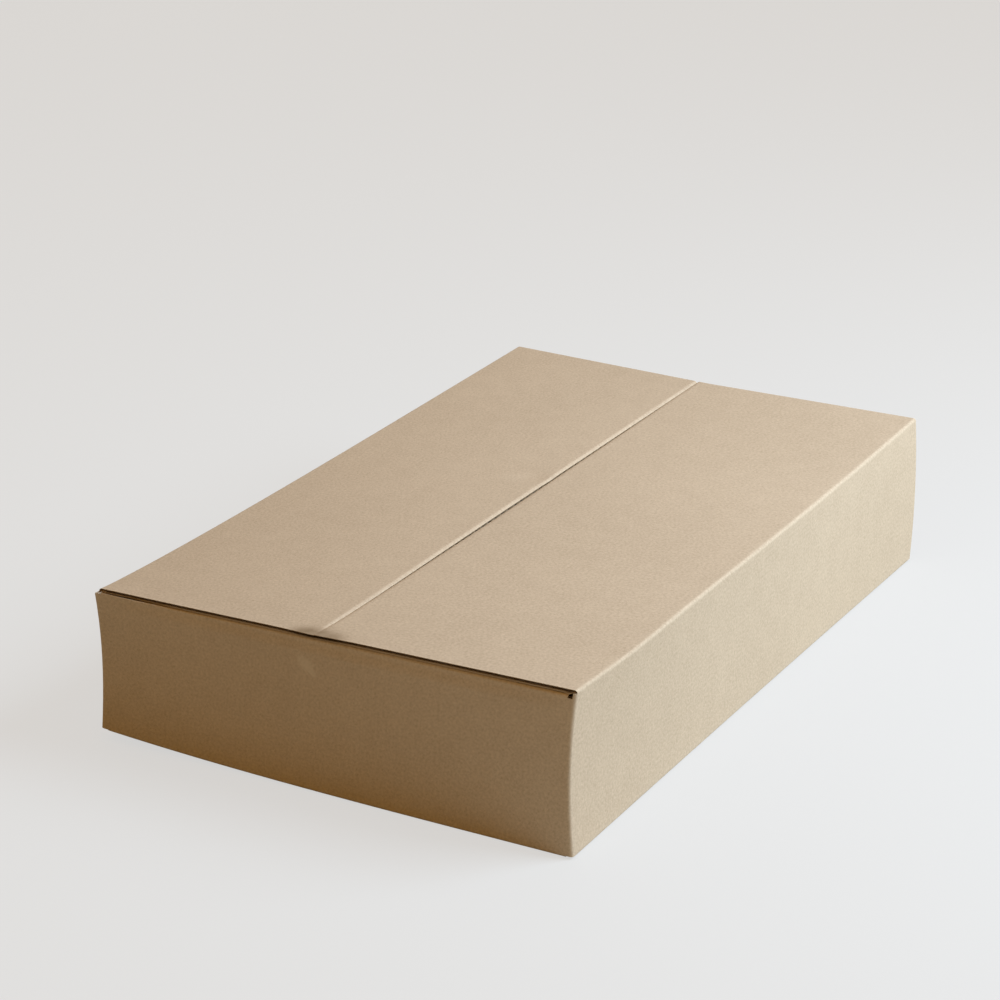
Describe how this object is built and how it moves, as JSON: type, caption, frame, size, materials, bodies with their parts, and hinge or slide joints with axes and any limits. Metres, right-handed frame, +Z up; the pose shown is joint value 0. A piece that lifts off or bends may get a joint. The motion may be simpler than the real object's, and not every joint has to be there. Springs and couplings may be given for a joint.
{
  "type": "closed slotted cardboard carton",
  "caption": "Shallow kraft carton of corrugated board, erected and closed, with outer top flaps that meet in a lengthwise seam and swing open over inner end flaps.",
  "frame": {"origin": "centre of the carton's underside, on the surface it stands on", "axes": "+X along the length, +Y along the width towards the back wall, +Z up"},
  "size_m": [0.4, 0.25, 0.08],
  "materials": {
    "kraft_board": "matte"
  },
  "bodies": {
    "carton": {"carton_body": "kraft_board"},
    "front_flap": {"front_top_flap": "kraft_board"},
    "back_flap": {"back_top_flap": "kraft_board"}
  },
  "joints": [
    {"name": "front_flap_crease", "type": "hinge", "parent": "carton", "child": "front_flap", "pos_m": [0, -0.125, 0.08], "axis": [1, 0, 0], "range_deg": [0, 175]},
    {"name": "back_flap_crease", "type": "hinge", "parent": "carton", "child": "back_flap", "pos_m": [0, 0.125, 0.08], "axis": [-1, 0, 0], "range_deg": [0, 175]}
  ]
}
